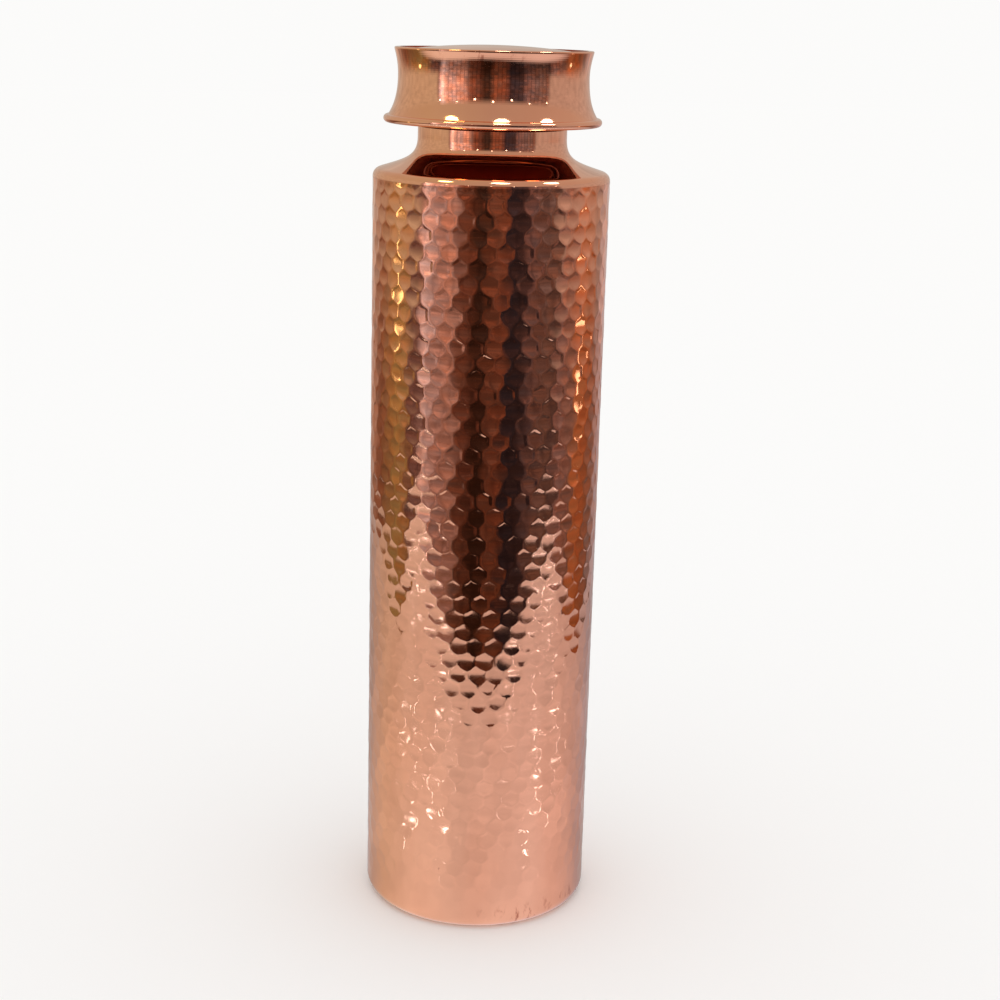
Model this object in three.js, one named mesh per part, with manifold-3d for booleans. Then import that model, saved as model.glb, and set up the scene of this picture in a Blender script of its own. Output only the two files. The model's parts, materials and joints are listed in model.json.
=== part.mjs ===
// A hammered copper water bottle with a spool-shaped screw cap.
// Millimetres, +Z up. The origin is the centre of the foot, and +Z is the bottle's axis.
// The bottle is a hammered tube with a pressed base, a spun shoulder and neck, and a threaded
// ferrule. The cap is a spun shell with a domed top plate, a threaded cup and a silicone gasket.
import * as THREE from "three";
import { mergeVertices } from "three/addons/utils/BufferGeometryUtils.js";
import Module from "manifold-3d";

const wasm = await Module();
wasm.setup();

// ---- Driving dimensions -------------------------------------------------------------------
const SHEET = 0.6; // copper sheet
const GAP = 0.3; // clearance in a brazed or crimped joint
const SIDES = 48; // flats round each turned piece

const BODY_R = 36.5;
const FOOT_INNER_R = 29.5; // inner edge of the turned-in foot
const FOOT_CORNER_R = 4.2;
const BODY_TOP_Z = 236.2; // top edge of the hammered tube, where the shoulder sits on it

const PLATE_R = 33.3; // base plate, inside the foot
const PUNT_R = 25; // raised middle of the base plate
const PUNT_RISE = 3;
const PUNT_SLOPE = 3; // width of its sloping side

const SKIRT_DEPTH = 6; // how far the shoulder's skirt reaches down inside the tube
const RIM_R = 2.6; // rounded rim between the wall and the shoulder
const RIM_RAISE = 0.5; // height of its centre above the tube's top edge
const RIM_TURN = 70; // degrees of that rounding
const RIM_INNER_START = 57; // degrees where the rounding's inner face meets the skirt
const SHOULDER_PULL = [25.74, 241.99]; // control point of the shoulder's sweep at the rim's end
const NECK_PULL_Z = 242.9; // height of its control point at the neck's end
const NECK_R = 22.85;
const NECK_START_Z = 249; // where the shoulder's sweep has become a straight neck
const NECK_STEP_Z = 252.3; // ledge that the ferrule stands on
const SPOUT_R = 20.9; // outside of the tube inside the ferrule
const LIP_R = 1.0; // section radius of the rolled lip
const LIP_CENTRE_R = 21.2;
const LIP_TOP_Z = 271.1;
const LIP_START = -107; // degrees where the lip's roll leaves the spout's outside
const LIP_END = 206; // degrees where it meets the bore

const LEAD = 5; // rise of the cap in one turn
const FERRULE_R = 22.1; // root of the outer thread
const FERRULE_CREST_R = 23.2;
const CUP_R = 23.7; // root of the inner thread
const CUP_CREST_R = 22.6;
const THREAD_BASE = 2.4; // width of a thread ridge at its root
const THREAD_CREST = 0.8; // and at its crest
const THREAD_Z = 255.4; // start of the ferrule's ridge
const THREAD_TURNS = 2.25;
const CUP_RIDGE_DROP = 1.6; // the cup's ridge runs this far under the ferrule's
const FERRULE_ROOT_SINK = 0.4; // how deep a ridge is let into its tube
const CUP_ROOT_SINK = 0.3;

const CAP_BOTTOM_Z = 252.9;
const CAP_HEM_R = 33.4; // widest radius of the cap, on its rolled hem
const HEM_R = 1.2; // section radius of that hem
const HEM_TURN = 60; // degrees where the hem's roll runs into the cap's flare
const HEM_INNER_R = 30.6;
const FLARE_PULL = [30.3, 257.7]; // control points of the lower flare, from the hem to the waist
const FLARE_WAIST_PULL_Z = 260.6;
const WAIST_R = 29.1;
const WAIST_Z = 267.3;
const UPPER_WAIST_PULL_Z = 270.3; // control points of the upper flare, from the waist to the top
const UPPER_PULL = [29.7, 272.6];
const CAP_TOP_R = 30.26;
const CAP_TOP_Z = 275.2; // flat lip round the cap's top
const CAP_EDGE_R = 0.5; // rounding of that lip's outer edge
const CAP_LIP_R = 28.6; // inner edge of that lip
const DOME_R = 28; // domed part of the top plate
const DOME_RISE = 2;
const DOME_RIM = 0.9; // flat rim round the dome, tucked under the cap's lip
const DOME_TOP_Z = 276.3;
const CUP_CORNER_R = 1;
const CUP_LOW_Z = 253.6; // lower edge of the cup, which leaves an open recess inside the cap's skirt
const GASKET_INNER_R = 19.6;
const GASKET_R = 23.3;
const GASKET_T = 1.6;

const BASE_BRAZE = { lap: 0.1, width: 1.4, height: 1.2 }; // sizes of the braze fillets' sections
const SKIRT_BRAZE_HEIGHT = 0.9;
const CROWN_BRAZE = { width: 1.2, drop: 1.3 };

// ---- Outlines: lists of [radius, height] ----------------------------------------------------
const pairs = (points) => points.map((p) => [p.x, p.y]);

// An arc round (r, z), from one angle to another in degrees, 0 pointing outwards and 90 up.
function arc(r, z, radius, from, to, steps) {
  const start = THREE.MathUtils.degToRad(from);
  const end = THREE.MathUtils.degToRad(to);
  const curve = new THREE.EllipseCurve(r, z, radius, radius, start, end, end < start);
  return pairs(curve.getPoints(steps));
}

function bezier(a, b, c, d, steps) {
  const corners = [a, b, c, d].map(([r, z]) => new THREE.Vector2(r, z));
  return pairs(new THREE.CubicBezierCurve(...corners).getPoints(steps));
}

// The line moved sideways by distance, to the left of its direction.
function offset(line, distance) {
  return line.map((here, i) => {
    const [before, after] = [line[Math.max(i - 1, 0)], line[Math.min(i + 1, line.length - 1)]];
    const sides = [
      [before, here],
      [here, after],
    ].map(([from, to]) => new THREE.Vector2(from[1] - to[1], to[0] - from[0]).normalize());
    const middle = sides[0].clone().add(sides[1]).normalize();
    const widest = Math.max(middle.dot(sides[0]), middle.dot(sides[1]));
    return [here[0] + (middle.x * distance) / widest, here[1] + (middle.y * distance) / widest];
  });
}

const distinct = (line) =>
  line.filter(([r, z], i) => !i || Math.hypot(r - line[i - 1][0], z - line[i - 1][1]) > 1e-6);

// A sheet that follows a line, with its thickness to the left of the line's direction.
function sheet(line) {
  const clean = distinct(line);
  return [...clean, ...offset(clean, SHEET).reverse()];
}

// ---- Solids ---------------------------------------------------------------------------------
// An outline turned round +Z, with its area on the left as it is walked.
function turned(outline) {
  const onAxis = outline[0][0] < 1e-9 && outline.at(-1)[0] < 1e-9;
  const walk = onAxis ? outline : [...outline, outline[0]];
  const points = walk.map(([r, z]) => new THREE.Vector2(Math.max(r, 0), z));
  return new THREE.LatheGeometry(points, SIDES).rotateX(Math.PI / 2);
}

// A right-handed helical ridge: a trapezoid from the radius root to the radius crest.
function ridge(root, crest, zStart, turns) {
  const [base, top] = [THREAD_BASE / 2, THREAD_CREST / 2];
  const section = new THREE.Shape([
    new THREE.Vector2(root, -base),
    new THREE.Vector2(crest, -top),
    new THREE.Vector2(crest, top),
    new THREE.Vector2(root, base),
  ]);
  const steps = Math.round(turns * SIDES);
  const made = new THREE.ExtrudeGeometry(section, { depth: turns, steps, bevelEnabled: false });
  const place = made.getAttribute("position");
  for (let i = 0; i < place.count; i++) {
    const [radius, along, turn] = [place.getX(i), place.getY(i), place.getZ(i)];
    const angle = turn * 2 * Math.PI;
    const height = zStart - along + LEAD * turn;
    place.setXYZ(i, radius * Math.cos(angle), radius * Math.sin(angle), height);
  }
  return made;
}

function solid(geometry) {
  const bare = geometry.clone().deleteAttribute("normal").deleteAttribute("uv");
  const merged = mergeVertices(bare, 1e-4);
  const index = [];
  for (let i = 0; i < merged.index.count; i += 3) {
    const [a, b, c] = [0, 1, 2].map((k) => merged.index.getX(i + k));
    if (a !== b && b !== c && c !== a) index.push(a, b, c);
  }
  const triVerts = new Uint32Array(index);
  const vertProperties = merged.getAttribute("position").array;
  return new wasm.Manifold(new wasm.Mesh({ numProp: 3, vertProperties, triVerts }));
}

function joined(a, b) {
  const mesh = solid(a).add(solid(b)).getMesh();
  return new THREE.BufferGeometry()
    .setAttribute("position", new THREE.BufferAttribute(mesh.vertProperties, 3))
    .setIndex(new THREE.BufferAttribute(mesh.triVerts, 1));
}

// ---- Materials ------------------------------------------------------------------------------
const metal = (color, roughness) =>
  new THREE.MeshStandardMaterial({ color, roughness, metalness: 1 });
const HAMMERED_COPPER = metal(0xd98a66, 0.16);
const POLISHED_COPPER = metal(0xdf9270, 0.1);
const RAW_COPPER = metal(0xb8694a, 0.4);
const BRAZE = metal(0xc9a257, 0.35);
const SILICONE = new THREE.MeshStandardMaterial({ color: 0xe9e6df, roughness: 0.6, metalness: 0 });

// ---- Pieces of the bottle -------------------------------------------------------------------
function hammeredBody() {
  const corner = BODY_R - FOOT_CORNER_R;
  return turned(
    sheet([
      [FOOT_INNER_R, 0],
      ...arc(corner, FOOT_CORNER_R, FOOT_CORNER_R, -90, 0, 5),
      [BODY_R, BODY_TOP_Z],
    ]),
  );
}

const PLATE_Z = SHEET + GAP; // underside of the base plate's rim

function basePlate() {
  return turned(
    sheet([
      [0, PLATE_Z + PUNT_RISE],
      [PUNT_R, PLATE_Z + PUNT_RISE],
      [PUNT_R + PUNT_SLOPE, PLATE_Z],
      [PLATE_R, PLATE_Z],
    ]),
  );
}

// A fillet of braze metal in the corner between the base plate and the wall.
function baseSeam() {
  const low = PLATE_Z + SHEET + GAP;
  const inner = PLATE_R - BASE_BRAZE.lap;
  return turned([
    [inner, low],
    [inner + BASE_BRAZE.width, low],
    [BODY_R - SHEET - 2 * GAP, low + BASE_BRAZE.height],
  ]);
}

const SKIRT_R = BODY_R - SHEET - GAP;
const SKIRT_Z = BODY_TOP_Z - SKIRT_DEPTH;

function shoulderNeck() {
  const rimCentre = [BODY_R - RIM_R, BODY_TOP_Z + RIM_RAISE];
  const rim = arc(...rimCentre, RIM_R, 0, RIM_TURN, 4);
  const neckStart = [NECK_R, NECK_START_Z];
  const sweep = bezier(rim.at(-1), SHOULDER_PULL, [NECK_R, NECK_PULL_Z], neckStart, 7);
  const innerRim = arc(...rimCentre, RIM_R - SHEET, RIM_INNER_START, RIM_TURN, 1);
  const bore = SPOUT_R - SHEET;
  const lipZ = LIP_TOP_Z - LIP_R;
  const lip = arc(LIP_CENTRE_R, lipZ, LIP_R, LIP_START, LIP_END, 7);
  return turned([
    [SKIRT_R, SKIRT_Z],
    [SKIRT_R, BODY_TOP_Z + GAP],
    [BODY_R, BODY_TOP_Z + GAP],
    ...rim,
    ...sweep.slice(1),
    [NECK_R, NECK_STEP_Z - GAP],
    [NECK_R - GAP, NECK_STEP_Z],
    [SPOUT_R, NECK_STEP_Z],
    ...lip,
    [bore, NECK_STEP_Z - SHEET],
    [NECK_R - SHEET, NECK_STEP_Z - SHEET],
    ...offset(sweep, SHEET).slice(1).reverse(),
    ...innerRim.reverse(),
    [SKIRT_R - SHEET, SKIRT_Z],
  ]);
}

// A fillet of braze metal under the shoulder's skirt, inside the tube.
function shoulderSeam() {
  return turned([
    [SKIRT_R, SKIRT_Z - GAP - SKIRT_BRAZE_HEIGHT],
    [SKIRT_R, SKIRT_Z - GAP],
    [SKIRT_R - SHEET, SKIRT_Z - GAP],
  ]);
}

function neckFerrule() {
  const [low, high] = [NECK_STEP_Z + GAP, LIP_TOP_Z - 2 * LIP_R - GAP];
  const tube = turned([
    [SPOUT_R + GAP, low],
    [FERRULE_R, low],
    [FERRULE_R, high],
    [SPOUT_R + GAP, high],
  ]);
  const root = FERRULE_R - FERRULE_ROOT_SINK;
  return joined(tube, ridge(root, FERRULE_CREST_R, THREAD_Z, THREAD_TURNS));
}

// ---- Pieces of the cap ----------------------------------------------------------------------
function capShell() {
  const hem = arc(CAP_HEM_R - HEM_R, CAP_BOTTOM_Z + HEM_R, HEM_R, -90, HEM_TURN, 4);
  const waist = [WAIST_R, WAIST_Z];
  const lowWaistPull = [WAIST_R, FLARE_WAIST_PULL_Z];
  const highWaistPull = [WAIST_R, UPPER_WAIST_PULL_Z];
  const top = [CAP_TOP_R, CAP_TOP_Z - CAP_EDGE_R];
  return turned(
    sheet([
      [HEM_INNER_R, CAP_BOTTOM_Z],
      ...hem,
      ...bezier(hem.at(-1), FLARE_PULL, lowWaistPull, waist, 6),
      ...bezier(waist, highWaistPull, UPPER_PULL, top, 4),
      ...arc(CAP_TOP_R - CAP_EDGE_R, CAP_TOP_Z - CAP_EDGE_R, CAP_EDGE_R, 0, 90, 2),
      [CAP_LIP_R, CAP_TOP_Z],
    ]),
  );
}

// Height of the top plate's upper face at a radius: a shallow spherical cap.
const domeZ = (r) => DOME_TOP_Z - DOME_RISE * (r / DOME_R) ** 2;

function capTopPlate() {
  const rings = 4;
  const radii = Array.from({ length: rings + 1 }, (_, i) => DOME_R * (1 - i / rings));
  const rim = [DOME_R + DOME_RIM, domeZ(DOME_R)];
  return turned(sheet([rim, ...radii.map((r) => [r, domeZ(r)])]));
}

const CUP_TOP_Z = LIP_TOP_Z + GAP + GASKET_T + GAP + SHEET;

function capThreadCup() {
  const outer = CUP_R + SHEET;
  const corner = arc(outer - CUP_CORNER_R, CUP_TOP_Z - CUP_CORNER_R, CUP_CORNER_R, 0, 90, 3);
  const cup = turned(sheet([[outer, CUP_LOW_Z], ...corner, [0, CUP_TOP_Z]]));
  // The ridge starts a quarter turn on from the ferrule's, so it is a quarter of the lead higher.
  const start = THREAD_Z - CUP_RIDGE_DROP + LEAD / 4;
  const thread = ridge(CUP_R + CUP_ROOT_SINK, CUP_CREST_R, start, THREAD_TURNS);
  return joined(cup, thread.rotateZ(Math.PI / 2));
}

// A fillet of braze metal between the threaded cup and the top plate.
function capCrownSeam() {
  const inner = CUP_R + SHEET + GAP;
  const outer = inner + CROWN_BRAZE.width;
  const high = domeZ(outer) - SHEET - GAP;
  return turned([
    [inner, CUP_TOP_Z - CROWN_BRAZE.drop],
    [outer, high],
    [inner, high],
  ]);
}

function capGasket() {
  const low = LIP_TOP_Z + GAP;
  return turned([
    [GASKET_INNER_R, low],
    [GASKET_R, low],
    [GASKET_R, low + GASKET_T],
    [GASKET_INNER_R, low + GASKET_T],
  ]);
}

// ---- Assembly -------------------------------------------------------------------------------
function piece(name, geometry, material) {
  const mesh = new THREE.Mesh(geometry, material);
  mesh.name = name;
  return mesh;
}

const bottle = new THREE.Group().add(
  piece("hammered_body", hammeredBody(), HAMMERED_COPPER),
  piece("base_plate", basePlate(), RAW_COPPER),
  piece("base_seam_braze", baseSeam(), BRAZE),
  piece("shoulder_neck", shoulderNeck(), POLISHED_COPPER),
  piece("shoulder_seam_braze", shoulderSeam(), BRAZE),
  piece("neck_thread_ferrule", neckFerrule(), POLISHED_COPPER),
);

const cap = new THREE.Group().add(
  piece("cap_shell", capShell(), POLISHED_COPPER),
  piece("cap_top_plate", capTopPlate(), POLISHED_COPPER),
  piece("cap_thread_cup", capThreadCup(), RAW_COPPER),
  piece("cap_crown_braze", capCrownSeam(), BRAZE),
  piece("cap_gasket", capGasket(), SILICONE),
);

export default new THREE.Group().add(bottle, cap);
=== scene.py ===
"""The looks of the hammered copper water bottle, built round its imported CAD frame.

Metres, +Z up along the bottle's axis, and -Y towards the front. Radii and heights come from the
frame's boxes; the small values below are the details that the solids leave out.
"""
import json
import math
import random

import bmesh
import bpy
from mathutils import Matrix, Vector

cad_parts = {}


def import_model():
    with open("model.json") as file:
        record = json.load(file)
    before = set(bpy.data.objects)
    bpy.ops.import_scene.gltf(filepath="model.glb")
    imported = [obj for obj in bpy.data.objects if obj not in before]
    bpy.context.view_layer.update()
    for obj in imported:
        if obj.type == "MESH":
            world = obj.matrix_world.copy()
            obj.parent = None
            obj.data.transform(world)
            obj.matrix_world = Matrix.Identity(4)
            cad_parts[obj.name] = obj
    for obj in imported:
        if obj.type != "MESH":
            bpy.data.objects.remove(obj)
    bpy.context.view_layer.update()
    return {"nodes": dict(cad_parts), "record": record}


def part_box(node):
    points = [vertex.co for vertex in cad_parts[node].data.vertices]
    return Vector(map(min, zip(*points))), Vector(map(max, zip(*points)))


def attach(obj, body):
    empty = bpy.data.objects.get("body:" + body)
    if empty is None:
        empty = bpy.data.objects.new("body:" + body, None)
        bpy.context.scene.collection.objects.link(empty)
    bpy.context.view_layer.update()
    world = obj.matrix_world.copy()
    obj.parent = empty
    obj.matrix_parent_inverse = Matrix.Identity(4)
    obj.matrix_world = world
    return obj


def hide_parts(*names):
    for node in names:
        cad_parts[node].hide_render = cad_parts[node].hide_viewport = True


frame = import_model()
MM = 0.001
TINY = 1e-7  # lengths below this count as nothing
TAU = 2 * math.pi


# ---- Sizes taken from the frame -------------------------------------------------------------
def reach(node):
    """Largest radius, lowest height and highest height of a turned node."""
    low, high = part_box(node)
    return high.x, low.z, high.z


BODY_R, FOOT_Z, BODY_TOP = reach("hammered_body")
_, SKIRT_Z, LIP_TOP = reach("shoulder_neck")
FERRULE_R, FERRULE_LOW, FERRULE_HIGH = reach("neck_thread_ferrule")
_, CAP_LOW, CAP_HIGH = reach("cap_shell")
PLATE_R, PLATE_LOW, PLATE_HIGH = reach("base_plate")
DOME_EDGE_R, _, DOME_TOP = reach("cap_top_plate")
CUP_OUTER_R, CUP_LOW, CUP_TOP = reach("cap_thread_cup")
COUPLING = frame["record"]["behaviour"]["couplings"][0]
LEAD = COUPLING["ratio"] * TAU

SHEET = 0.6 * MM  # copper sheet
SEAM = 0.03 * MM  # hairline where two brazed pieces meet
RIM_Z = BODY_TOP + 0.3 * MM  # underside of the shoulder's rim, which the tube meets
ROUND = 192  # sides of a turned piece

# ---- Hammer marks ---------------------------------------------------------------------------
MARKS_PER_TURN = 40.57  # one spiral row runs on into the next, so this isn't a whole number
ROW = 4.67 * MM  # rise of the spiral in one turn
MARK_DEPTH = 0.105 * MM  # about the depth that flattens the tube across one mark
RIDGE_DEPTH = 0.35 * MARK_DEPTH  # how far the blows have lowered the ridges between them
MARK_POWER = 2.3  # above 2, the marks are flatter in the middle and steeper at their ridges
MARK_TILT = Vector((0.026, 0.014))  # largest random slope of a mark, round the tube and up it
MARK_SCATTER = 0.075  # largest random shift of a mark, as a part of the spacing
MARK_STRENGTH = (0.6, 1.25)  # range of the blows' random strength
MARK_R = 2.95 * MM  # radius of a dish; small flats are left between three of them
BULGE = 0.38 * MM  # each mark's round edge bites this far into the marks hammered before it
FADE_LOW, FADE_HIGH = 3 * MM, 17 * MM  # the marks die out between these heights above the foot
MARKS_TOP = BODY_TOP - 0.3 * MM  # where the marks end under the rim
FADE_TOP = 1.2 * MM  # and the height in which they get weaker below that
WELD = 0.002 * MM  # vertices closer than this become one
SEED = 7


# ---- Mesh helpers ---------------------------------------------------------------------------
def finish_mesh(name, bm, material, sharp=40):
    """Turns a bmesh into a smooth-shaded object with its creases kept."""
    bmesh.ops.recalc_face_normals(bm, faces=bm.faces)
    mesh = bpy.data.meshes.new(name)
    bm.to_mesh(mesh)
    bm.free()
    mesh.shade_smooth()
    mesh.set_sharp_from_angle(angle=math.radians(sharp))
    piece = bpy.data.objects.new(name, mesh)
    bpy.context.scene.collection.objects.link(piece)
    mesh.materials.append(material)
    return piece


def arc(r, z, radius, start, end, steps):
    """Points of an arc round (r, z); 0 degrees points outwards and 90 up."""
    angles = [math.radians(start + (end - start) * i / steps) for i in range(steps + 1)]
    return [(r + radius * math.cos(a), z + radius * math.sin(a)) for a in angles]


def bezier(a, b, c, d, steps):
    """Points of a cubic curve from a to d, without its first point."""
    points = []
    for i in range(1, steps + 1):
        t = i / steps
        weights = ((1 - t) ** 3, 3 * t * (1 - t) ** 2, 3 * t * t * (1 - t), t**3)
        points.append(tuple(sum(w * p[k] for w, p in zip(weights, (a, b, c, d))) for k in (0, 1)))
    return points


def offset(line, distance):
    """The line moved sideways, to the left of its direction."""
    moved = []
    for i, here in enumerate(line):
        before, after = line[max(i - 1, 0)], line[min(i + 1, len(line) - 1)]
        along = Vector((after[0] - before[0], after[1] - before[1])).normalized()
        moved.append((here[0] - along.y * distance, here[1] + along.x * distance))
    return moved


def ring(bm, r, z, wobble=0.0):
    """One circle of vertices, or a single vertex on the axis.

    Wobble is how uneven it is: three waves round it, which shift as the height changes.
    """
    if r < TINY:
        return [bm.verts.new((0, 0, z))]
    circle = []
    for i in range(ROUND):
        a = TAU * i / ROUND
        wave = math.sin(3 * a + 400 * z) + math.sin(5 * a - 700 * z + 1)
        wave += math.sin(8 * a + 300 * z + 2)
        radius = r - wobble * (1 + wave / 3)
        circle.append(bm.verts.new((radius * math.cos(a), radius * math.sin(a), z)))
    return circle


def skin(bm, low, high):
    """Faces between two circles of the same count, or between a circle and the axis."""
    count = max(len(low), len(high))
    for i in range(count if count > 1 else 0):
        j = (i + 1) % count
        corners = [low[i % len(low)], low[j % len(low)], high[j % len(high)], high[i % len(high)]]
        bm.faces.new(list(dict.fromkeys(corners)))


def skins(bm, rings):
    """Faces between each circle and the next."""
    for low, high in zip(rings, rings[1:]):
        skin(bm, low, high)


def turned(name, outline, material, wobble=0.0, lining=(), raw=None):
    """An outline of (radius, height), turned round the axis and closed.

    A lining goes on from the outline's end, in the material raw.
    """
    bm = bmesh.new()
    rings = [ring(bm, r, z, wobble=wobble) for r, z in (*outline, *lining)]
    bright = rings[: len(outline)]
    skins(bm, bright)
    count = len(bm.faces)
    skins(bm, rings[len(outline) - 1 :])
    if len(rings[0]) > 1:
        skin(bm, rings[-1], rings[0])
    if raw:
        bm.faces.ensure_lookup_table()
        for face in bm.faces[count:]:
            face.material_index = 1
    piece = finish_mesh(name, bm, material)
    if raw:
        piece.data.materials.append(raw)
    return piece


def stitch(bm, few, many):
    """Triangles between two circles, where each vertex of the inner has several of the outer."""
    step = len(many) // len(few)
    for i, here in enumerate(few):
        after = few[(i + 1) % len(few)]
        run = [many[(i * step + m) % len(many)] for m in range(step + 1)]
        half = (step + 1) // 2
        for m in range(step):
            bm.faces.new((here if m < half else after, run[m], run[m + 1]))
        bm.faces.new((here, run[half], after))


def around(vertex):
    """The compass angle of a vertex."""
    return math.atan2(vertex.co.y, vertex.co.x) % TAU


def zip_rings(bm, first, second):
    """Triangles between two circles that have different counts of vertices."""
    first, second = sorted(first, key=around), sorted(second, key=around)
    i = j = 0
    while i < len(first) or j < len(second):
        a, b = first[i % len(first)], second[j % len(second)]
        next_a = around(a) if i < len(first) else 2 * TAU
        next_b = around(b) if j < len(second) else 2 * TAU
        if next_a <= next_b:
            corners = (a, first[(i + 1) % len(first)], b)
            i += 1
        else:
            corners = (a, second[(j + 1) % len(second)], b)
            j += 1
        if len(set(corners)) == 3:
            bm.faces.new(corners)


# ---- Material helpers -----------------------------------------------------------------------
class Nodes:
    """A small wrapper that adds shader nodes and links them in one call."""

    def __init__(self, tree):
        self.tree = tree
        tree.nodes.clear()

    def add(self, kind, **inputs):
        """A node with its inputs set by name (_ for a space), or by number as _0, _1, _2."""
        node = self.tree.nodes.new("ShaderNode" + kind)
        settings = inputs.pop("settings", {})
        for key, value in settings.items():
            setattr(node, key, value)
        for key, value in inputs.items():
            socket = node.inputs[int(key[1:]) if key[0] == "_" else key.replace("_", " ")]
            if isinstance(value, bpy.types.NodeSocket):
                self.tree.links.new(value, socket)
            else:
                socket.default_value = value
        return node

    def math(self, operation, *values):
        inputs = {f"_{i}": value for i, value in enumerate(values)}
        return self.add("Math", settings={"operation": operation}, **inputs).outputs[0]

    def ramp(self, factor, stops):
        """Colours between stops of (place, colour)."""
        node = self.add("ValToRGB", Fac=factor)
        elements = node.color_ramp.elements
        while len(elements) < len(stops):
            elements.new(0.5)
        for element, (place, color) in zip(elements, stops):
            element.position = place
            element.color = (*color, 1)
        return node.outputs[0]

    def mix(self, factor, a, b, blend="MIX"):
        node = self.tree.nodes.new("ShaderNodeMix")
        node.data_type = "RGBA"
        node.blend_type = blend
        for index, value in ((0, factor), (6, a), (7, b)):
            if isinstance(value, bpy.types.NodeSocket):
                self.tree.links.new(value, node.inputs[index])
            else:
                node.inputs[index].default_value = value if index == 0 else (*value, 1)
        return node.outputs[2]

    def times(self, a, b):
        """Two colours multiplied."""
        return self.mix(1.0, a, b, "MULTIPLY")

    def surface(self, color, metallic, roughness, bump):
        """A plain material's shader and output."""
        links = {"Roughness": roughness, "Normal": bump.outputs[0]}
        shader = self.add("BsdfPrincipled", Base_Color=color, Metallic=metallic, **links)
        self.add("OutputMaterial", Surface=shader.outputs[0])
        return shader


def new_material(name):
    material = bpy.data.materials.new(name)
    material.use_nodes = True
    return material, Nodes(material.node_tree)


def grey(value):
    return (value, value, value)


def noise(n, where, scale, detail=3.0, rough=0.5):
    return n.add("TexNoise", Vector=where, Scale=scale, Detail=detail, Roughness=rough).outputs[0]


def smooth(n, value, low, high):
    """0 below low, 1 above high and a soft step between."""
    settings = {"interpolation_type": "SMOOTHSTEP"}
    return n.add("MapRange", settings=settings, Value=value, From_Min=low, From_Max=high).outputs[0]


DEEPER = (0.86, 0.74, 0.68)  # a copper's darker clouds, as parts of its tint
SPOT_BROWN, STREAK_BROWN = (0.2, 0.055, 0.03), (0.36, 0.10, 0.05)
TURNING_PITCH = 0.55 * MM  # spacing of the fine lines left by spinning


def copper(name, tint, rough, tarnish=0.5, lines=0.0, spots=0.0, worn=(), metal=1.0):
    """Polished copper: uneven colour, haze in patches, turning lines, hairline scratches and spots.

    worn lists heights where handling and damp have left brown streaks: (none here, full here). A
    metal below 1 is dulled by oxide.
    """
    material, n = new_material(name)
    place = n.add("TexCoord").outputs["Object"]
    stretched = n.add("Mapping", Vector=place, Scale=(1, 1, 0.25)).outputs[0]
    patches = noise(n, stretched, 45, 4, 0.6)
    haze = noise(n, place, 160, 5, 0.65)
    deep = tuple(c * k for c, k in zip(tint, DEEPER))
    clouds = n.ramp(patches, [(0.38, grey(0)), (0.75, grey(tarnish))])
    color = n.mix(clouds, tint, deep)
    if spots:
        cells = noise(n, place, 330, 6, 0.7)
        marks = n.ramp(cells, [(0.71 - spots, grey(0)), (0.76 - spots, grey(1))])
        color = n.mix(n.math("MULTIPLY", marks, 0.7), color, SPOT_BROWN)
    height = n.add("SeparateXYZ", Vector=place).outputs[2]
    drips = n.add("Mapping", Vector=place, Scale=(1, 1, 0.4)).outputs[0]
    streaks = smooth(n, noise(n, drips, 330, 6, 0.7), 0.52, 0.64)
    streaks = n.math("MULTIPLY", streaks, smooth(n, noise(n, place, 38, 2), 0.44, 0.56))
    for none, full in worn:
        amount = n.math("MULTIPLY", streaks, smooth(n, height, none, full))
        color = n.mix(n.math("MULTIPLY", amount, 0.75), color, STREAK_BROWN)
    level = n.ramp(haze, [(0.35, grey(rough * 0.7)), (0.7, grey(rough * 1.6))])
    fine = n.add("Mapping", Vector=place, Scale=(1, 1, 14)).outputs[0]
    scratches = noise(n, fine, 240, 6, 0.7)
    relief = n.math("MULTIPLY", scratches, 0.6)
    if lines:
        wave = n.math("SINE", n.math("MULTIPLY", height, TAU / TURNING_PITCH))
        relief = n.math("ADD", relief, n.math("MULTIPLY", wave, lines))
    bump = n.add("Bump", Strength=0.12, Distance=0.02 * MM, Height=relief)
    n.surface(color, metal, level, bump)
    return material


# ---- Materials ------------------------------------------------------------------------------
COPPER_TINT = (0.93, 0.49, 0.31)
RAW_TINT = (0.5, 0.21, 0.12)
INSIDE_TINT = (0.34, 0.10, 0.055)
BRASS, DULL_BRASS = (0.62, 0.44, 0.19), (0.4, 0.24, 0.11)
SILICONE_WHITE, SILICONE_DIM = (0.83, 0.81, 0.76), (0.74, 0.71, 0.65)
SILICONE_GLOW = grey(2 * MM)  # how far light spreads inside the silicone


def braze_material():
    material, n = new_material("braze_metal")
    place = n.add("TexCoord").outputs["Object"]
    lumps = noise(n, place, 700, 4)
    color = n.mix(n.ramp(lumps, [(0.35, grey(0)), (0.7, grey(1))]), BRASS, DULL_BRASS)
    bump = n.add("Bump", Strength=0.6, Distance=0.2 * MM, Height=lumps)
    n.surface(color, 1.0, n.ramp(lumps, [(0.3, grey(0.3)), (0.7, grey(0.55))]), bump)
    return material


def silicone_material():
    material, n = new_material("white_silicone")
    place = n.add("TexCoord").outputs["Object"]
    clouds = noise(n, place, 220, 3)
    color = n.mix(n.ramp(clouds, [(0.3, grey(0)), (0.7, grey(1))]), SILICONE_WHITE, SILICONE_DIM)
    bump = n.add("Bump", Strength=0.2, Distance=0.05 * MM, Height=noise(n, place, 1500, 2))
    shader = n.surface(color, 0.0, n.ramp(clouds, [(0.3, grey(0.45)), (0.7, grey(0.62))]), bump)
    shader.inputs["Subsurface Weight"].default_value = 0.3
    shader.inputs["Subsurface Radius"].default_value = SILICONE_GLOW
    return material


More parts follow.
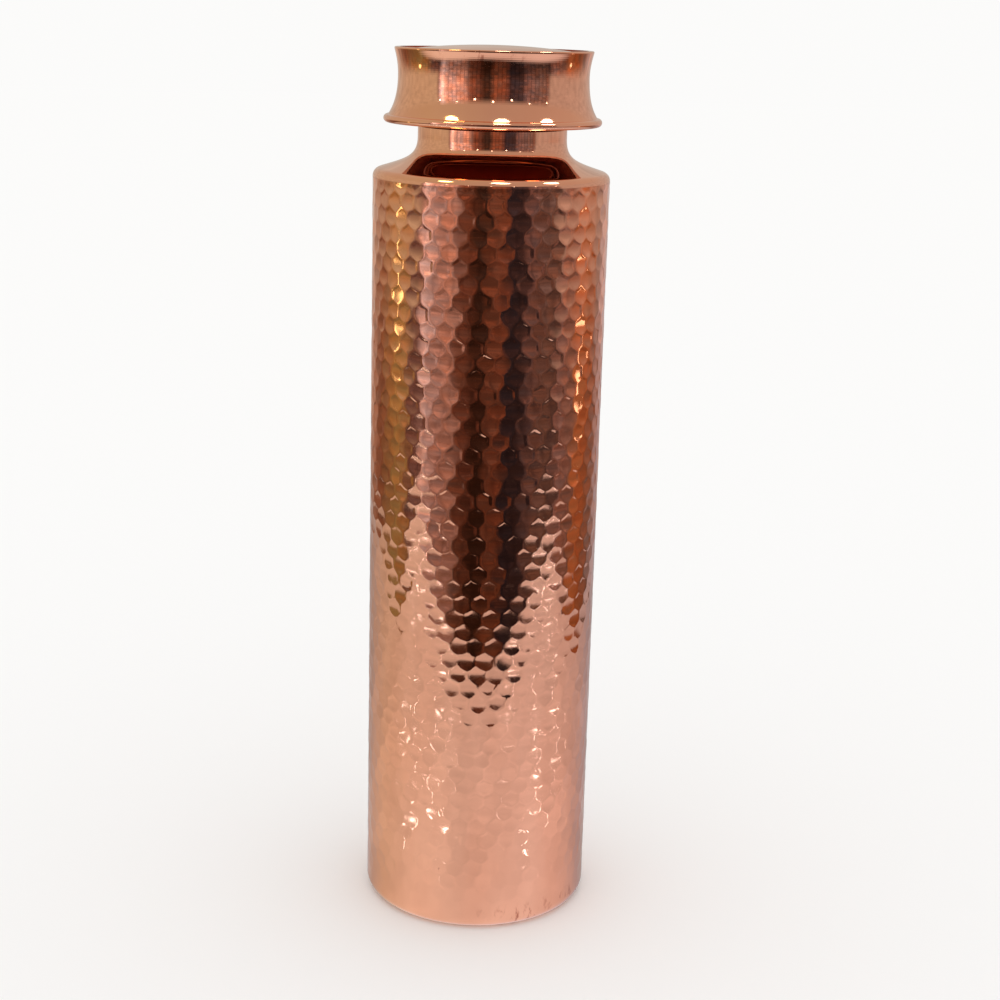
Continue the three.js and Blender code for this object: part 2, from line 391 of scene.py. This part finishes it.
FOOT_WORN = (FOOT_Z + 9 * MM, FOOT_Z + 4 * MM)
LIP_WORN = (CAP_HIGH - 6 * MM, CAP_HIGH - 1.5 * MM)
HAMMERED = copper("hammered_copper", COPPER_TINT, 0.07, 0.6, spots=0.012, worn=[FOOT_WORN])
POLISHED = copper("polished_copper", COPPER_TINT, 0.05, 0.45, lines=0.25, spots=0.004)
SPUN = copper("spun_cap_copper", COPPER_TINT, 0.05, 0.45, lines=0.25, spots=0.01, worn=[LIP_WORN])
RAW = copper("raw_copper", RAW_TINT, 0.42, 0.9, lines=0.6, spots=0.03)
INSIDE = copper("cap_inside_copper", INSIDE_TINT, 0.5, 0.9, spots=0.03, metal=0.6)
BRAZE = braze_material()
SILICONE = silicone_material()


# ---- The hammered tube ----------------------------------------------------------------------
class Hammering:
    """The marks: shallow round dishes on a right-handed spiral, with ridges where they meet."""

    INNER, OUTER = (0.3, 0.6), 0.88  # round rings of vertices inside each mark, as parts of MARK_R
    WITHIN = 0.91  # a ring reaches at most this part of the way to the mark's edge
    SPLIT = 3  # stretches along each of its six sides
    STEPS = (1, 41, 40, -1, -41, -40)  # from one mark to its six neighbours, anticlockwise
    SPARE_TURNS = 3  # rows past each end of the sheet, which the level cuts take off
    SPARE_MARKS = 60  # marks past those, so that each one has all its neighbours

    def __init__(self, low, high):
        pitch = TAU * BODY_R / MARKS_PER_TURN
        self.first = -self.SPARE_TURNS * round(MARKS_PER_TURN)
        self.last = round(((high - low) / ROW + self.SPARE_TURNS) * MARKS_PER_TURN)
        dice = random.Random(SEED)
        spread = MARK_SCATTER * pitch
        self.marks = {}
        for k in range(self.first - self.SPARE_MARKS, self.last + self.SPARE_MARKS):
            along = pitch * k + dice.uniform(-spread, spread)
            up = low + ROW * k / MARKS_PER_TURN + dice.uniform(-spread, spread)
            tilt = Vector((dice.uniform(-1, 1), dice.uniform(-1, 1))) * MARK_TILT
            self.marks[k] = (along, up, dice.uniform(*MARK_STRENGTH), tilt)

    def place(self, k, home):
        """Middle of mark k in the flat plane of mark home, which is unrolled from the tube."""
        along, up = self.marks[k][:2]
        turns = round((k - home) / MARKS_PER_TURN)
        return Vector((along - turns * TAU * BODY_R, up))

    def corner(self, k, side):
        """Where mark k meets two neighbours: the centre of the circle through all three."""
        here = self.place(k, k)
        a = self.place(k + self.STEPS[side], k) - here
        b = self.place(k + self.STEPS[(side + 1) % 6], k) - here
        double = 2 * (a.x * b.y - a.y * b.x)
        x = (b.y * a.length_squared - a.y * b.length_squared) / double
        y = (a.x * b.length_squared - b.x * a.length_squared) / double
        return here + Vector((x, y))

    def depth(self, k, home, spot):
        """How deep mark k is at a spot in the plane of mark home."""
        away = spot - self.place(k, home)
        strength, tilt = self.marks[k][2:]
        dish = max(1 - (away.length / MARK_R) ** MARK_POWER, 0)
        return MARK_DEPTH * dish * strength + RIDGE_DEPTH + tilt.dot(away)


def fade(height):
    """How strongly the marks show at a height: they die out at the foot and stop under the rim."""
    foot = min(max((height - FOOT_Z - FADE_LOW) / (FADE_HIGH - FADE_LOW), 0), 1)
    rim = min(max((MARKS_TOP - height) / FADE_TOP, 0), 1)
    return foot * foot * (3 - 2 * foot) * math.sqrt(rim)


def hammered_sheet(bm, low, high):
    """The outer face between two heights, as an open sheet with level edges."""
    work = Hammering(low, high)
    shared = {}

    def vertex(spot, depth):
        radius = BODY_R - max(depth, 0) * fade(spot.y)
        angle = spot.x / BODY_R
        return bm.verts.new((radius * math.cos(angle), radius * math.sin(angle), spot.y))

    def shared_vertex(key, k, spot, others):
        if key not in shared:
            depths = [work.depth(m, k, spot) for m in (k, *others)]
            shared[key] = vertex(spot, sum(depths) / len(depths))
        return shared[key]

    for k in range(work.first, work.last):
        centre = work.place(k, k)
        corners = [work.corner(k, side) for side in range(6)]
        edge, spots = [], []
        for side in range(6):
            start, end = corners[side - 1], corners[side]
            before, near = k + work.STEPS[side - 1], k + work.STEPS[side]
            edge.append(shared_vertex(frozenset((k, before, near)), k, start, [before, near]))
            spots.append(start)
            bow = BULGE if near < k else -BULGE
            for m in range(1, work.SPLIT):
                part = m / work.SPLIT
                spot = start.lerp(end, part)
                spot += (spot - centre).normalized() * bow * 4 * part * (1 - part)
                order = m if k < near else work.SPLIT - m
                edge.append(shared_vertex((min(k, near), max(k, near), order), k, spot, [near]))
                spots.append(spot)

        def round_row(part, towards):
            row = []
            for spot in towards:
                way = spot - centre
                spot = centre + way * min(part * MARK_R / way.length, work.WITHIN)
                row.append(vertex(spot, work.depth(k, k, spot)))
            return row

        inner = [vertex(centre, work.depth(k, k, centre))]
        for part in work.INNER:
            outer = round_row(part, spots[:: work.SPLIT])
            skin(bm, inner, outer)
            inner = outer
        outer = round_row(work.OUTER, spots)
        stitch(bm, inner, outer)
        skin(bm, outer, edge)
    for height, side in ((low, -1), (high, 1)):
        everything = bm.verts[:] + bm.edges[:] + bm.faces[:]
        cut = {"plane_co": (0, 0, height), "plane_no": (0, 0, side), "clear_outer": True}
        bmesh.ops.bisect_plane(bm, geom=everything, dist=TINY, **cut)
    bmesh.ops.remove_doubles(bm, verts=bm.verts, dist=WELD)


def edge_ring(bm, height):
    """The vertices of the sheet's open edge at a height."""
    rims = {v for e in bm.edges if e.is_boundary for v in e.verts}
    return [v for v in rims if abs(v.co.z - height) < 5 * WELD]


def hammered_body():
    """The tube: a hammered outside, a foot turned in to a rolled edge, and a plain inside."""
    corner, edge_r, edge_bow = 4.2 * MM, 29.5 * MM, 0.25 * MM
    inner, ring_step = BODY_R - SHEET, 60 * MM
    low = FOOT_Z + corner
    bm = bmesh.new()
    hammered_sheet(bm, low, MARKS_TOP)
    bottom, top = edge_ring(bm, low), edge_ring(bm, MARKS_TOP)
    outline = arc(BODY_R - corner, low, corner, -4, -90, 12)
    outline += [(edge_r, FOOT_Z), (edge_r - edge_bow, FOOT_Z + SHEET / 2), (edge_r, FOOT_Z + SHEET)]
    outline += arc(BODY_R - corner, low, corner - SHEET, -90, 0, 8)
    outline += [(inner, ring_step * i) for i in (1, 2, 3)]
    outline += [(inner, RIM_Z - 0.1 * MM), (BODY_R, RIM_Z - SEAM)]
    rings = [ring(bm, r, z) for r, z in outline]
    skins(bm, rings)
    zip_rings(bm, bottom, rings[0])
    zip_rings(bm, top, rings[-1])
    return finish_mesh("hammered_body_wall", bm, HAMMERED, sharp=60)


# ---- Shoulder, neck and ferrule --------------------------------------------------------------
SKIRT_R = BODY_R - SHEET - 0.3 * MM
RIM_R = 2.6 * MM  # rounding of the shoulder's rim
NECK_R = 22.85 * MM
NECK_START = BODY_TOP + 12.8 * MM  # the shoulder has become a straight neck here
SPOUT_R = 20.9 * MM
LIP_R = 1.0 * MM


def shoulder_neck():
    """One spun sheet: skirt, rim, sloping shoulder, neck, and a narrow spout with a rolled lip."""
    rim = arc(BODY_R - RIM_R, RIM_Z + 0.2 * MM, RIM_R, 0, 70, 14)
    slope = (NECK_R + 2.89 * MM, BODY_TOP + 5.79 * MM)
    bend = (NECK_R, NECK_START - 6.1 * MM)
    outer = rim + bezier(rim[-1], slope, bend, (NECK_R, NECK_START), 36)
    inside = [p for p in offset(outer, SHEET) if p[0] < BODY_R - 2.2 * MM]
    step, step_r = FERRULE_LOW - 0.3 * MM, 0.5 * MM
    ledge = arc(NECK_R - step_r, step - step_r, step_r, 10, 90, 4)
    lip = arc(SPOUT_R + 0.3 * MM, LIP_TOP - LIP_R, LIP_R, -107, 206, 24)
    skirt_in = SKIRT_R - SHEET

    outline = [(SKIRT_R, SKIRT_Z), (SKIRT_R, RIM_Z), (BODY_R, RIM_Z)]
    outline += [*outer, (NECK_R, step - step_r), *ledge, (SPOUT_R, step), *lip]
    outline += [(SPOUT_R - SHEET, step - SHEET), (NECK_R - SHEET, step - SHEET), *inside[::-1]]
    outline += [(skirt_in, BODY_TOP - 0.5 * MM), (skirt_in, SKIRT_Z)]
    return turned("shoulder_and_neck", outline, POLISHED, wobble=0.012 * MM)


THREAD_HALF = 1.2 * MM  # half the width of the thread's ridge at its root
THREAD_Z = FERRULE_LOW + 2.8 * MM  # middle of the ridge where the ferrule's thread starts
THREAD_TURNS = 2.25
RUN_OUT = 1 / 6  # turns in which the thread rises at each end
FLANK_POWER, CREST_FLAT = 2.4, 1.25  # above 2, its flanks are steeper; above 1, its crest is flat


def threaded_rows(bm, root, crest, heights, start, first, last):
    """Circles up a tube, with a rounded right-handed thread from one turn to another."""
    rows = []
    for z in heights:
        row = []
        for j in range(ROUND):
            rise = 0
            for turn in range(math.ceil(last) + 1):
                along = turn + j / ROUND
                away = abs(z - start - LEAD * along) / THREAD_HALF
                if first <= along <= last and away < 1:
                    end = min(1, (along - first) / RUN_OUT, (last - along) / RUN_OUT)
                    rise = max(rise, (1 - away**FLANK_POWER) * end)
            radius = root + (crest - root) * min(rise * CREST_FLAT, 1)
            angle = TAU * j / ROUND
            row.append(bm.verts.new((radius * math.cos(angle), radius * math.sin(angle), z)))
        rows.append(row)
    return rows


def levels(low, high, count):
    """Heights from low to high in equal steps."""
    return [low + (high - low) * i / count for i in range(count + 1)]


def ferrule():
    """The threaded ring on the spout."""
    inner, root = SPOUT_R + 0.3 * MM, 22.1 * MM
    low, high, edge = FERRULE_LOW, FERRULE_HIGH, 0.2 * MM
    bm = bmesh.new()
    heights = levels(low + edge, high - edge, 100)
    rows = threaded_rows(bm, root, FERRULE_R, heights, THREAD_Z, 0, THREAD_TURNS)
    below = [ring(bm, inner, low), ring(bm, root - edge, low)]
    above = [ring(bm, root - edge, high), ring(bm, inner, high)]
    skins(bm, below + rows + above + below[:1])
    return finish_mesh("threaded_neck_ferrule", bm, POLISHED, sharp=50)


# ---- The cap --------------------------------------------------------------------------------
CAP_R = 33.4 * MM
CAP_TOP_R = 30.26 * MM
CAP_HOLE_R = 28.6 * MM  # opening in the top that the domed plate fills
HEM_IN_R = 30.6 * MM  # inner edge of the turned-in hem
HEM_R = 1.2 * MM
EDGE_R = 0.42 * MM  # rounding of the cap's upper edge
WAIST_R, WAIST_Z = 29.1 * MM, CAP_LOW + 14.4 * MM


def cap_shell():
    """The spun wall: a rolled hem, a flare, a waist and a turned-in top, with a raw inside."""
    hem = arc(CAP_R - HEM_R, CAP_LOW + HEM_R, HEM_R, -90, 88, 20)
    crease = (CAP_R - HEM_R - 0.3 * MM, CAP_LOW + 2 * HEM_R + 0.02 * MM)
    foot, hip = (30.5 * MM, CAP_LOW + 4.7 * MM), (WAIST_R, CAP_LOW + 7.7 * MM)
    flare = bezier(crease, foot, hip, (WAIST_R, WAIST_Z), 34)
    chest, collar = (WAIST_R, WAIST_Z + 3 * MM), (29.7 * MM, CAP_HIGH - 2.6 * MM)
    upper = bezier(flare[-1], chest, collar, (CAP_TOP_R, CAP_HIGH - EDGE_R), 20)
    lip = arc(CAP_TOP_R - EDGE_R, CAP_HIGH - EDGE_R, EDGE_R, 10, 90, 7)
    outer = [(HEM_IN_R, CAP_LOW), *hem, crease, *flare, *upper, *lip, (CAP_HOLE_R, CAP_HIGH)]
    inner = offset([crease, *flare, *upper], SHEET)
    under = CAP_HIGH - SHEET
    back = [(CAP_HOLE_R, under), (CAP_TOP_R - 1.0 * MM, under), *inner[-2::-1]]
    floor_z = CAP_LOW + SHEET
    back += [(CAP_R - HEM_R, floor_z), (HEM_IN_R, floor_z)]
    return turned("cap_spun_shell", outer, SPUN, wobble=0.02 * MM, lining=back, raw=INSIDE)


def cap_top_plate():
    """The domed disc in the cap's top."""
    dome_r, dome_rise, steps = 28 * MM, 2 * MM, 28

    def dome_z(r):
        return DOME_TOP - dome_rise * (r / dome_r) ** 2

    radii = [dome_r * i / steps for i in range(steps + 1)]
    top = [(r, dome_z(r)) for r in reversed(radii)]
    edge = [(DOME_EDGE_R, dome_z(dome_r) - SHEET), (DOME_EDGE_R, dome_z(dome_r))]
    under = [(r, dome_z(r) - SHEET) for r in radii]
    return turned("cap_domed_top", under + edge + top, POLISHED)


def thread_cup():
    """The cap's inner cup: a threaded wall under a flat crown."""
    root, crest = 23.7 * MM, 22.6 * MM
    drop = 1.6 * MM  # the cup's thread runs this far under the ferrule's
    first = 0.25  # and starts a quarter of a turn on
    edge, round_in, round_out = 0.2 * MM, 0.4 * MM, 1 * MM
    ceiling = CUP_TOP - SHEET
    bm = bmesh.new()
    heights = levels(CUP_LOW + edge, ceiling - round_in - 0.1 * MM, 110)
    rows = threaded_rows(bm, root, crest, heights, THREAD_Z - drop, first, first + THREAD_TURNS)
    radii = [20 * MM, 14 * MM, 8 * MM, 0]
    outline = arc(root - round_in, ceiling - round_in, round_in, 10, 90, 4)
    outline += [(r, ceiling) for r in radii] + [(r, CUP_TOP) for r in reversed(radii)]
    outline += arc(CUP_OUTER_R - round_out, CUP_TOP - round_out, round_out, 90, 0, 6)
    outline += [(CUP_OUTER_R, CUP_LOW + edge), (CUP_OUTER_R - edge, CUP_LOW)]
    outline += [(root + 0.1 * MM, CUP_LOW)]
    skins(bm, rows + [ring(bm, r, z) for r, z in outline] + rows[:1])
    return finish_mesh("threaded_cap_cup", bm, INSIDE, sharp=50)


# ---- The rest of the pieces -----------------------------------------------------------------
def base_plate():
    """A pressed disc, raised in the middle, with a shallow groove round its centre."""
    punt_r, slope = 25 * MM, 3 * MM
    top = PLATE_HIGH - SHEET  # underside of the raised middle
    knee = (punt_r + slope / 2, (PLATE_LOW + top) / 2)
    foot = [(punt_r + slope, PLATE_LOW), (punt_r + slope * 0.8, PLATE_LOW)]
    head = [(punt_r, top), (punt_r - 0.4 * MM, top), (punt_r - 2 * MM, top)]
    low = [(PLATE_R, PLATE_LOW)]
    low += bezier(low[0], *foot, knee, 10) + bezier(knee, *head, 8)
    groove_r, groove_step, groove_depth = 11.2 * MM, 0.4 * MM, 0.18 * MM
    for step, depth in ((2, 0), (1, groove_depth), (0, groove_depth), (-1, groove_depth), (-2, 0)):
        low.append((groove_r + step * groove_step, top - depth))
    low.append((0, top))
    high = [(r, z + SHEET) for r, z in low]
    return turned("pressed_base_plate", low + high[::-1], RAW)


def gasket():
    """A plain ring with rounded edges, filling its node."""
    rounding = 0.45 * MM
    low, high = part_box("cap_gasket")
    inner = min(math.hypot(v.co.x, v.co.y) for v in frame["nodes"]["cap_gasket"].data.vertices)
    left, right = inner + rounding, high.x - rounding
    foot, top = low.z + rounding, high.z - rounding
    outline = []
    for r, z, start in ((right, top, 0), (left, top, 90), (left, foot, 180), (right, foot, 270)):
        outline += arc(r, z, rounding, start, start + 90, 5)
    return turned("silicone_gasket_ring", outline, SILICONE)


# ---- Assembly -------------------------------------------------------------------------------
def claim(piece, body, node):
    """Hangs a piece on the body it rides on, and hides the CAD node that it stands for."""
    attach(piece, body)
    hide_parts(node)


claim(hammered_body(), "bottle", "hammered_body")
claim(shoulder_neck(), "bottle", "shoulder_neck")
claim(ferrule(), "bottle", "neck_thread_ferrule")
claim(base_plate(), "bottle", "base_plate")
claim(cap_shell(), "cap", "cap_shell")
claim(cap_top_plate(), "cap", "cap_top_plate")
claim(thread_cup(), "cap", "cap_thread_cup")
claim(gasket(), "seal", "cap_gasket")
for node in ("base_seam_braze", "shoulder_seam_braze", "cap_crown_braze"):
    frame["nodes"][node].data.materials.clear()
    frame["nodes"][node].data.materials.append(BRAZE)


# ---- Studio ---------------------------------------------------------------------------------
# What polished copper mirrors: a dim room with soft vertical bands of colour, by compass angle in
# degrees from the front, positive to the right.
ROOM = (
    (-180, (0.60, 0.53, 0.49)),
    (-160, (0.58, 0.49, 0.42)),
    (-145, (0.38, 0.25, 0.18)),
    (-128, (0.24, 0.13, 0.08)),
    (-116, (0.28, 0.19, 0.10)),
    (-98, (0.42, 0.34, 0.14)),
    (-86, (0.34, 0.26, 0.14)),
    (-79, (0.20, 0.15, 0.15)),
    (-68, (0.15, 0.11, 0.12)),
    (-65, (0.95, 0.92, 1.06)),
    (-61, (0.85, 0.81, 0.92)),
    (-57, (0.48, 0.39, 0.41)),
    (-34, (0.42, 0.32, 0.31)),
    (-28, (0.15, 0.08, 0.06)),
    (-18, (0.12, 0.06, 0.045)),
    (-12, (0.04, 0.025, 0.02)),
    (-4, (0.04, 0.025, 0.02)),
    (2, (0.16, 0.08, 0.055)),
    (14, (0.14, 0.07, 0.05)),
    (20, (0.035, 0.03, 0.04)),
    (34, (0.04, 0.035, 0.045)),
    (40, (0.13, 0.10, 0.11)),
    (62, (0.15, 0.12, 0.12)),
    (70, (0.11, 0.08, 0.08)),
    (76, (0.30, 0.21, 0.21)),
    (94, (0.28, 0.17, 0.14)),
    (101, (0.50, 0.21, 0.09)),
    (118, (0.36, 0.16, 0.08)),
    (130, (0.26, 0.17, 0.14)),
    (150, (0.54, 0.46, 0.48)),
    (180, (0.60, 0.53, 0.49)),
)
CEILING = (
    (-180, (0.60, 0.52, 0.46)),
    (-90, (0.56, 0.50, 0.38)),
    (0, (0.50, 0.42, 0.38)),
    (90, (0.56, 0.46, 0.42)),
    (180, (0.60, 0.52, 0.46)),
)
PALE_LEFT, PALE_RIGHT = (0.60, 0.55, 0.44), (0.54, 0.47, 0.46)  # walls beside the dark window
TABLE_REACH = (  # how far the table top reaches from the bottle, in metres, at each angle
    (-180, grey(0.50)),
    (-117, grey(0.47)),
    (-91, grey(0.31)),
    (-70, grey(0.60)),
    (-51, grey(0.40)),
    (-34, grey(0.30)),
    (0, grey(0.263)),
    (34, grey(0.30)),
    (51, grey(0.38)),
    (70, grey(0.49)),
    (91, grey(0.37)),
    (117, grey(0.28)),
    (180, grey(0.50)),
)
TABLE_TURN = (  # and its colour there
    (-180, (0.50, 0.47, 0.47)),
    (-150, (0.52, 0.46, 0.43)),
    (-115, (0.72, 0.64, 0.56)),
    (-70, (0.86, 0.80, 0.80)),
    (0, (0.80, 0.74, 0.79)),
    (60, (0.84, 0.79, 0.88)),
    (100, (0.76, 0.68, 0.74)),
    (150, (0.50, 0.46, 0.52)),
    (180, (0.50, 0.47, 0.47)),
)
GLINTS = (  # at which angles the mirrored table has painted glints
    (-96, grey(0)),
    (-72, grey(1)),
    (-34, grey(1)),
    (-20, grey(0)),
    (24, grey(0)),
    (40, grey(1)),
    (84, grey(1)),
    (100, grey(0)),
)
FAR_TABLE_SHADE = grey(0.84)  # painted shade: the far part of the mirrored table is darker by this factor
GLINT_GLOW = (5.0, 6.0, 7.5)  # colour of a painted glint, bright enough to glow
FAN_SECTORS, FAN_ROWS = 90.0, 34.0  # cells of the fan they lie in, in a turn and in a metre
FAN_EMPTY = 0.55  # part of the cells that have none
BOX_DIM, BOX_PALE, BOX_GAP = grey(0.76), (1.38, 1.25, 1.18), (0.62, 0.58, 0.58)  # on the shelves
SHELF_COLUMNS, SHELF_ROWS = 72.0, 26.0  # boxes in a whole turn, and up a wall of height 1
WARM, COOL = (1.2, 0.94, 0.8), (0.88, 1.0, 1.15)  # slow changes of hue across the room
WHITE = (0.97, 0.965, 0.955)  # the studio's backdrop
FLOOR_WHITE, FLOOR_SIZE = (0.93, 0.925, 0.915), 6
DOME_LIGHT = 1.045  # soft light from all round


def glossy_ray(n):
    """1 for what polished metal mirrors, and 0 for everything else."""
    return n.add("LightPath").outputs["Is Glossy Ray"]


def compass(n, split):
    """Compass angle in radians from the front, positive to the right."""
    return n.math("ARCTAN2", split.outputs[0], n.math("MULTIPLY", split.outputs[1], -1.0))


def part_of_turn(n, angle):
    """A compass angle as a part of a turn, in which the front is halfway, at 0.5."""
    return n.math("MULTIPLY_ADD", angle, 1 / TAU, 0.5)


def bands(n, place, stops):
    """A colour for each part of a turn; a ramp holds 32 stops at most."""
    return n.ramp(place, [(0.5 + degrees / 360, color) for degrees, color in stops])


def shelves(n, place, up):
    """Crowded shelves: a grid of dim and pale boxes, as factors for the room's colour."""
    column, row = n.math("MULTIPLY", place, SHELF_COLUMNS), n.math("MULTIPLY", up, SHELF_ROWS)
    grid = n.add("CombineXYZ", X=column, Y=row)
    look = {"Color1": (*BOX_DIM, 1), "Color2": (*BOX_PALE, 1), "Mortar": (*BOX_GAP, 1)}
    look |= {"Mortar_Size": 0.12, "Mortar_Smooth": 0.3}
    look |= {"Scale": 1.0, "Brick_Width": 1.0, "Row_Height": 1.0}
    boxes = n.add("TexBrick", settings={"offset": 0.0}, Vector=grid.outputs[0], **look)
    return boxes.outputs["Color"]


def room(n, direction):
    """What is mirrored from a direction: banded room, pale side walls, ceiling or table."""
    split = n.add("SeparateXYZ", Vector=direction)
    across, along, up = split.outputs
    place = part_of_turn(n, compass(n, split))
    things = n.add("Mapping", Vector=direction, Scale=(1, 1, 1.6)).outputs[0]
    clutter = n.ramp(noise(n, things, 11, 4, 0.6), [(0.3, grey(0.7)), (0.7, grey(1.3))])
    hues = n.ramp(noise(n, things, 7, 3), [(0.35, WARM), (0.65, COOL)])
    color = n.times(n.times(bands(n, place, ROOM), clutter), hues)
    front = smooth(n, along, 0.15, -0.15)
    color = n.mix(front, color, n.times(color, shelves(n, place, up)))
    light = n.math("MULTIPLY_ADD", smooth(n, up, -0.32, -0.06), 0.55, 0.6)
    light = n.math("MULTIPLY_ADD", smooth(n, up, -0.08, 0.02), 0.7, light)
    color = n.times(color, light)

    walls = n.mix(n.math("MULTIPLY_ADD", across, 0.5, 0.5), PALE_LEFT, PALE_RIGHT)
    walls = n.mix(0.5, walls, n.times(walls, clutter))
    beside = n.math("MULTIPLY", smooth(n, along, -0.40, -0.30), smooth(n, up, -0.20, 0.0))
    color = n.mix(beside, color, walls)

    height = n.math("MULTIPLY_ADD", up, 0.5, 0.5)
    above = n.ramp(height, [(0.65, grey(0)), (0.72, grey(1))])
    color = n.mix(above, color, bands(n, place, CEILING))
    dip = n.math("MULTIPLY", n.math("POWER", n.math("ABSOLUTE", across), 2.0), 0.12)
    below = smooth(n, n.math("SUBTRACT", dip, up), 0.42, 0.49)
    return n.mix(below, color, bands(n, place, TABLE_TURN))


def world():
    """Even white light and backdrop, with the room only where metal mirrors it."""
    scene = bpy.context.scene
    scene.world = bpy.data.worlds.new("studio")
    scene.world.use_nodes = True
    n = Nodes(scene.world.node_tree)
    mirrored = room(n, n.add("TexCoord").outputs["Generated"])
    camera_ray = n.add("LightPath").outputs["Is Camera Ray"]
    dome = n.mix(camera_ray, grey(DOME_LIGHT), WHITE)
    seen = n.mix(glossy_ray(n), dome, mirrored)
    n.add("OutputWorld", Surface=n.add("Background", Color=seen).outputs[0])
    scene.world.cycles.sampling_method = "NONE"


def painted_glints(n, turn, away):
    """Painted glints on the mirrored table: a bright dot in about half the cells of a fan."""
    sector, row = n.math("MULTIPLY", turn, FAN_SECTORS), n.math("MULTIPLY", away, FAN_ROWS)
    fan = n.add("CombineXYZ", X=sector, Y=row)
    cells = n.add("TexVoronoi", Vector=fan.outputs[0], Scale=1.0)
    # Painted glints: bright dots that glow in the mirrored table.
    dots = n.ramp(cells.outputs["Distance"], [(0.14, GLINT_GLOW), (0.20, grey(0))])
    chosen = n.add("SeparateXYZ", Vector=cells.outputs["Color"]).outputs[0]
    dots = n.times(dots, n.math("GREATER_THAN", chosen, FAN_EMPTY))
    dots = n.times(dots, bands(n, turn, GLINTS))
    return n.mix(smooth(n, away, 0.06, 0.09), grey(0), dots)


def floor():
    """A pale floor. For rays that polished metal mirrors it glows instead: a painted reflection of
    a table top with soft patches and a few painted glints.
    """
    material, n = new_material("pale_floor")
    place = n.add("TexCoord").outputs["Object"]
    angle = compass(n, n.add("SeparateXYZ", Vector=place))
    away = n.add("VectorMath", settings={"operation": "LENGTH"}, _0=place).outputs["Value"]
    spread = n.math("SUBTRACT", 1.0, n.math("DIVIDE", BODY_R / 2, away))
    # Angles count up to double close to the tube, so that the table's bands look upright in it.
    turn = part_of_turn(n, n.math("DIVIDE", angle, spread))
    uneven = n.math("MULTIPLY_ADD", noise(n, place, 40, 3), 0.3, 0.85)
    reach_there = bands(n, turn, TABLE_REACH)
    beyond = n.math("GREATER_THAN", n.math("MULTIPLY", away, uneven), reach_there)
    # Painted reflection: soft patches in the mirrored table's colours, seen only by glossy rays.
    patches = n.ramp(noise(n, place, 14, 3, 0.6), [(0.3, grey(0.80)), (0.7, grey(1.12))])
    patches = n.times(patches, bands(n, turn, TABLE_TURN))
    # Painted shade: the mirrored table gets darker away from the bottle.
    patches = n.mix(smooth(n, away, 0.10, 0.28), patches, n.times(patches, FAR_TABLE_SHADE))
    # The painted table reflection, with the painted glints added on top.
    mirrored = n.mix(1.0, patches, painted_glints(n, turn, away), "ADD")
    # Glossy rays see the painted reflection glow; all other rays see the plain diffuse floor.
    glossy = glossy_ray(n)
    hidden = n.math("MULTIPLY", beyond, glossy)
    diffuse = n.add("BsdfDiffuse", Color=(*FLOOR_WHITE, 1))
    glow = n.add("Emission", Color=mirrored)
    clear = n.add("BsdfTransparent")
    shown = n.add("MixShader", Fac=glossy, _1=diffuse.outputs[0], _2=glow.outputs[0])
    mixed = n.add("MixShader", Fac=hidden, _1=shown.outputs[0], _2=clear.outputs[0])
    n.add("OutputMaterial", Surface=mixed.outputs[0])
    bm = bmesh.new()
    bmesh.ops.create_grid(bm, x_segments=1, y_segments=1, size=FLOOR_SIZE)
    finish_mesh("studio_floor", bm, material)


LAMP_DISTANCE, LAMP_AIM = 1.8, Vector((0, 0, 0.2))
LAMPS = (  # name, compass angle and elevation in degrees, size in metres, glow and colour
    ("ceiling_left", -60, 52, 0.34, 14, (1.0, 0.85, 0.4)),
    ("ceiling_middle", 14, 62, 0.40, 14, (1.0, 0.93, 0.85)),
    ("ceiling_right", 80, 50, 0.38, 16, (1.0, 0.92, 0.85)),
    ("side_left", -98, -8, 0.12, 2.5, (1.0, 0.86, 0.45)),
    ("side_right", 103, -11, 0.10, 2.5, (1.0, 0.78, 0.6)),
)
FAR_LAMPS = 7  # a row of small ones, every second one a little higher
FAR_FIRST, FAR_STEP, FAR_LOW, FAR_HIGHER = -66, 22, 20, 3  # degrees
FAR_SIZE, FAR_GLOW, FAR_COLOR = 0.05, 9, (1.0, 0.93, 0.86)


def lamp(name, degrees, elevation, size, glow, color):
    """A round lamp in the room, aimed at the bottle, that only the polished copper mirrors."""
    data = bpy.data.lights.new(name, "AREA")
    data.shape = "DISK"
    data.size = size
    data.energy = glow * (math.pi * size / 2) ** 2
    data.color = color
    light = bpy.data.objects.new(name, data)
    across, up = math.radians(degrees), math.radians(elevation)
    level = math.cos(up)
    away = Vector((math.sin(across) * level, -math.cos(across) * level, math.sin(up)))
    light.location = away * LAMP_DISTANCE + LAMP_AIM
    light.rotation_euler = away.to_track_quat("Z", "Y").to_euler()
    light.visible_diffuse = False
    bpy.context.scene.collection.objects.link(light)


def lamps():
    for settings in LAMPS:
        lamp(*settings)
    for i in range(FAR_LAMPS):
        degrees, elevation = FAR_FIRST + FAR_STEP * i, FAR_LOW + FAR_HIGHER * (i % 2)
        lamp(f"far_lamp_{i}", degrees, elevation, FAR_SIZE, FAR_GLOW, FAR_COLOR)


SENSOR, LENS = 36, 64.6  # mm
EYE = (0, -0.5593, 0.2847)
YAW, PITCH, ROLL = 0.5456, 15.084, 1.5513  # degrees


def camera():
    data = bpy.data.cameras.new("camera")
    data.sensor_width = SENSOR
    data.lens = LENS
    data.clip_start = 0.01
    view = bpy.data.objects.new("camera", data)
    yaw, pitch, roll = (math.radians(v) for v in (YAW, PITCH, ROLL))
    aim = Matrix.Rotation(-yaw, 4, "Z") @ Matrix.Rotation(math.pi / 2 - pitch, 4, "X")
    view.matrix_world = Matrix.Translation(EYE) @ aim @ Matrix.Rotation(roll, 4, "Z")
    bpy.context.scene.collection.objects.link(view)
    bpy.context.scene.camera = view


world()
floor()
lamps()
camera()
bpy.context.scene.view_settings.view_transform = "Standard"
